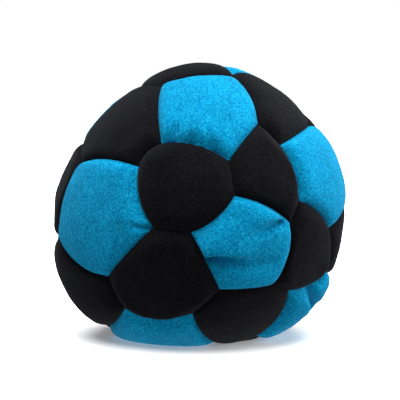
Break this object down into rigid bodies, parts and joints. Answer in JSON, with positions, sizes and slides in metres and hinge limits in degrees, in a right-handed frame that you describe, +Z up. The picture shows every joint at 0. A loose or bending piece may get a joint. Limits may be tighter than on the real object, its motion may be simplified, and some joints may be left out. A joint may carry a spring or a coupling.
{
  "type": "juggling ball",
  "caption": "Sewn juggling ball of blue pentagon and black hexagon suede panels, loosely filled with plastic pellets, slumped on a flat it rests on",
  "frame": {"origin": "On the resting plane, straight below the ball's middle, inside the flat that its weight presses into its underside.", "axes": "+Z is up. -Y is the front of the ball, with +X to its right. The underside's flat faces -Z."},
  "size_m": [0.0587, 0.058, 0.0556],
  "materials": {
    "blue_suede": "matte synthetic suede with a short brushed nap",
    "black_suede": "matte synthetic suede with a short brushed nap",
    "sewing_thread": "twisted black polyester sewing thread",
    "plastic_pellets": "milky polyethylene pellets, satin"
  },
  "bodies": {
    "root": {"pentagon_panel_01": "blue_suede", "pentagon_panel_02": "blue_suede", "pentagon_panel_03": "blue_suede", "pentagon_panel_04": "blue_suede", "pentagon_panel_05": "blue_suede", "pentagon_panel_06": "blue_suede", "pentagon_panel_07": "blue_suede", "pentagon_panel_08": "blue_suede", "pentagon_panel_09": "blue_suede", "pentagon_panel_10": "blue_suede", "pentagon_panel_11": "blue_suede", "pentagon_panel_12": "blue_suede", "hexagon_panel_01": "black_suede", "hexagon_panel_02": "black_suede", "hexagon_panel_03": "black_suede", "hexagon_panel_04": "black_suede", "hexagon_panel_05": "black_suede", "hexagon_panel_06": "black_suede", "hexagon_panel_07": "black_suede", "hexagon_panel_08": "black_suede", "hexagon_panel_09": "black_suede", "hexagon_panel_10": "black_suede", "hexagon_panel_11": "black_suede", "hexagon_panel_12": "black_suede", "hexagon_panel_13": "black_suede", "hexagon_panel_14": "black_suede", "hexagon_panel_15": "black_suede", "hexagon_panel_16": "black_suede", "hexagon_panel_17": "black_suede", "hexagon_panel_18": "black_suede", "hexagon_panel_19": "black_suede", "hexagon_panel_20": "black_suede", "pentagon_thread_01": "sewing_thread", "pentagon_thread_02": "sewing_thread", "pentagon_thread_03": "sewing_thread", "pentagon_thread_04": "sewing_thread", "pentagon_thread_05": "sewing_thread", "pentagon_thread_06": "sewing_thread", "pentagon_thread_07": "sewing_thread", "pentagon_thread_08": "sewing_thread", "pentagon_thread_09": "sewing_thread", "pentagon_thread_10": "sewing_thread", "pentagon_thread_11": "sewing_thread", "pentagon_thread_12": "sewing_thread", "hexagon_thread": "sewing_thread", "closing_thread": "sewing_thread", "filling_pellets": "plastic_pellets"}
  },
  "joints": []
}
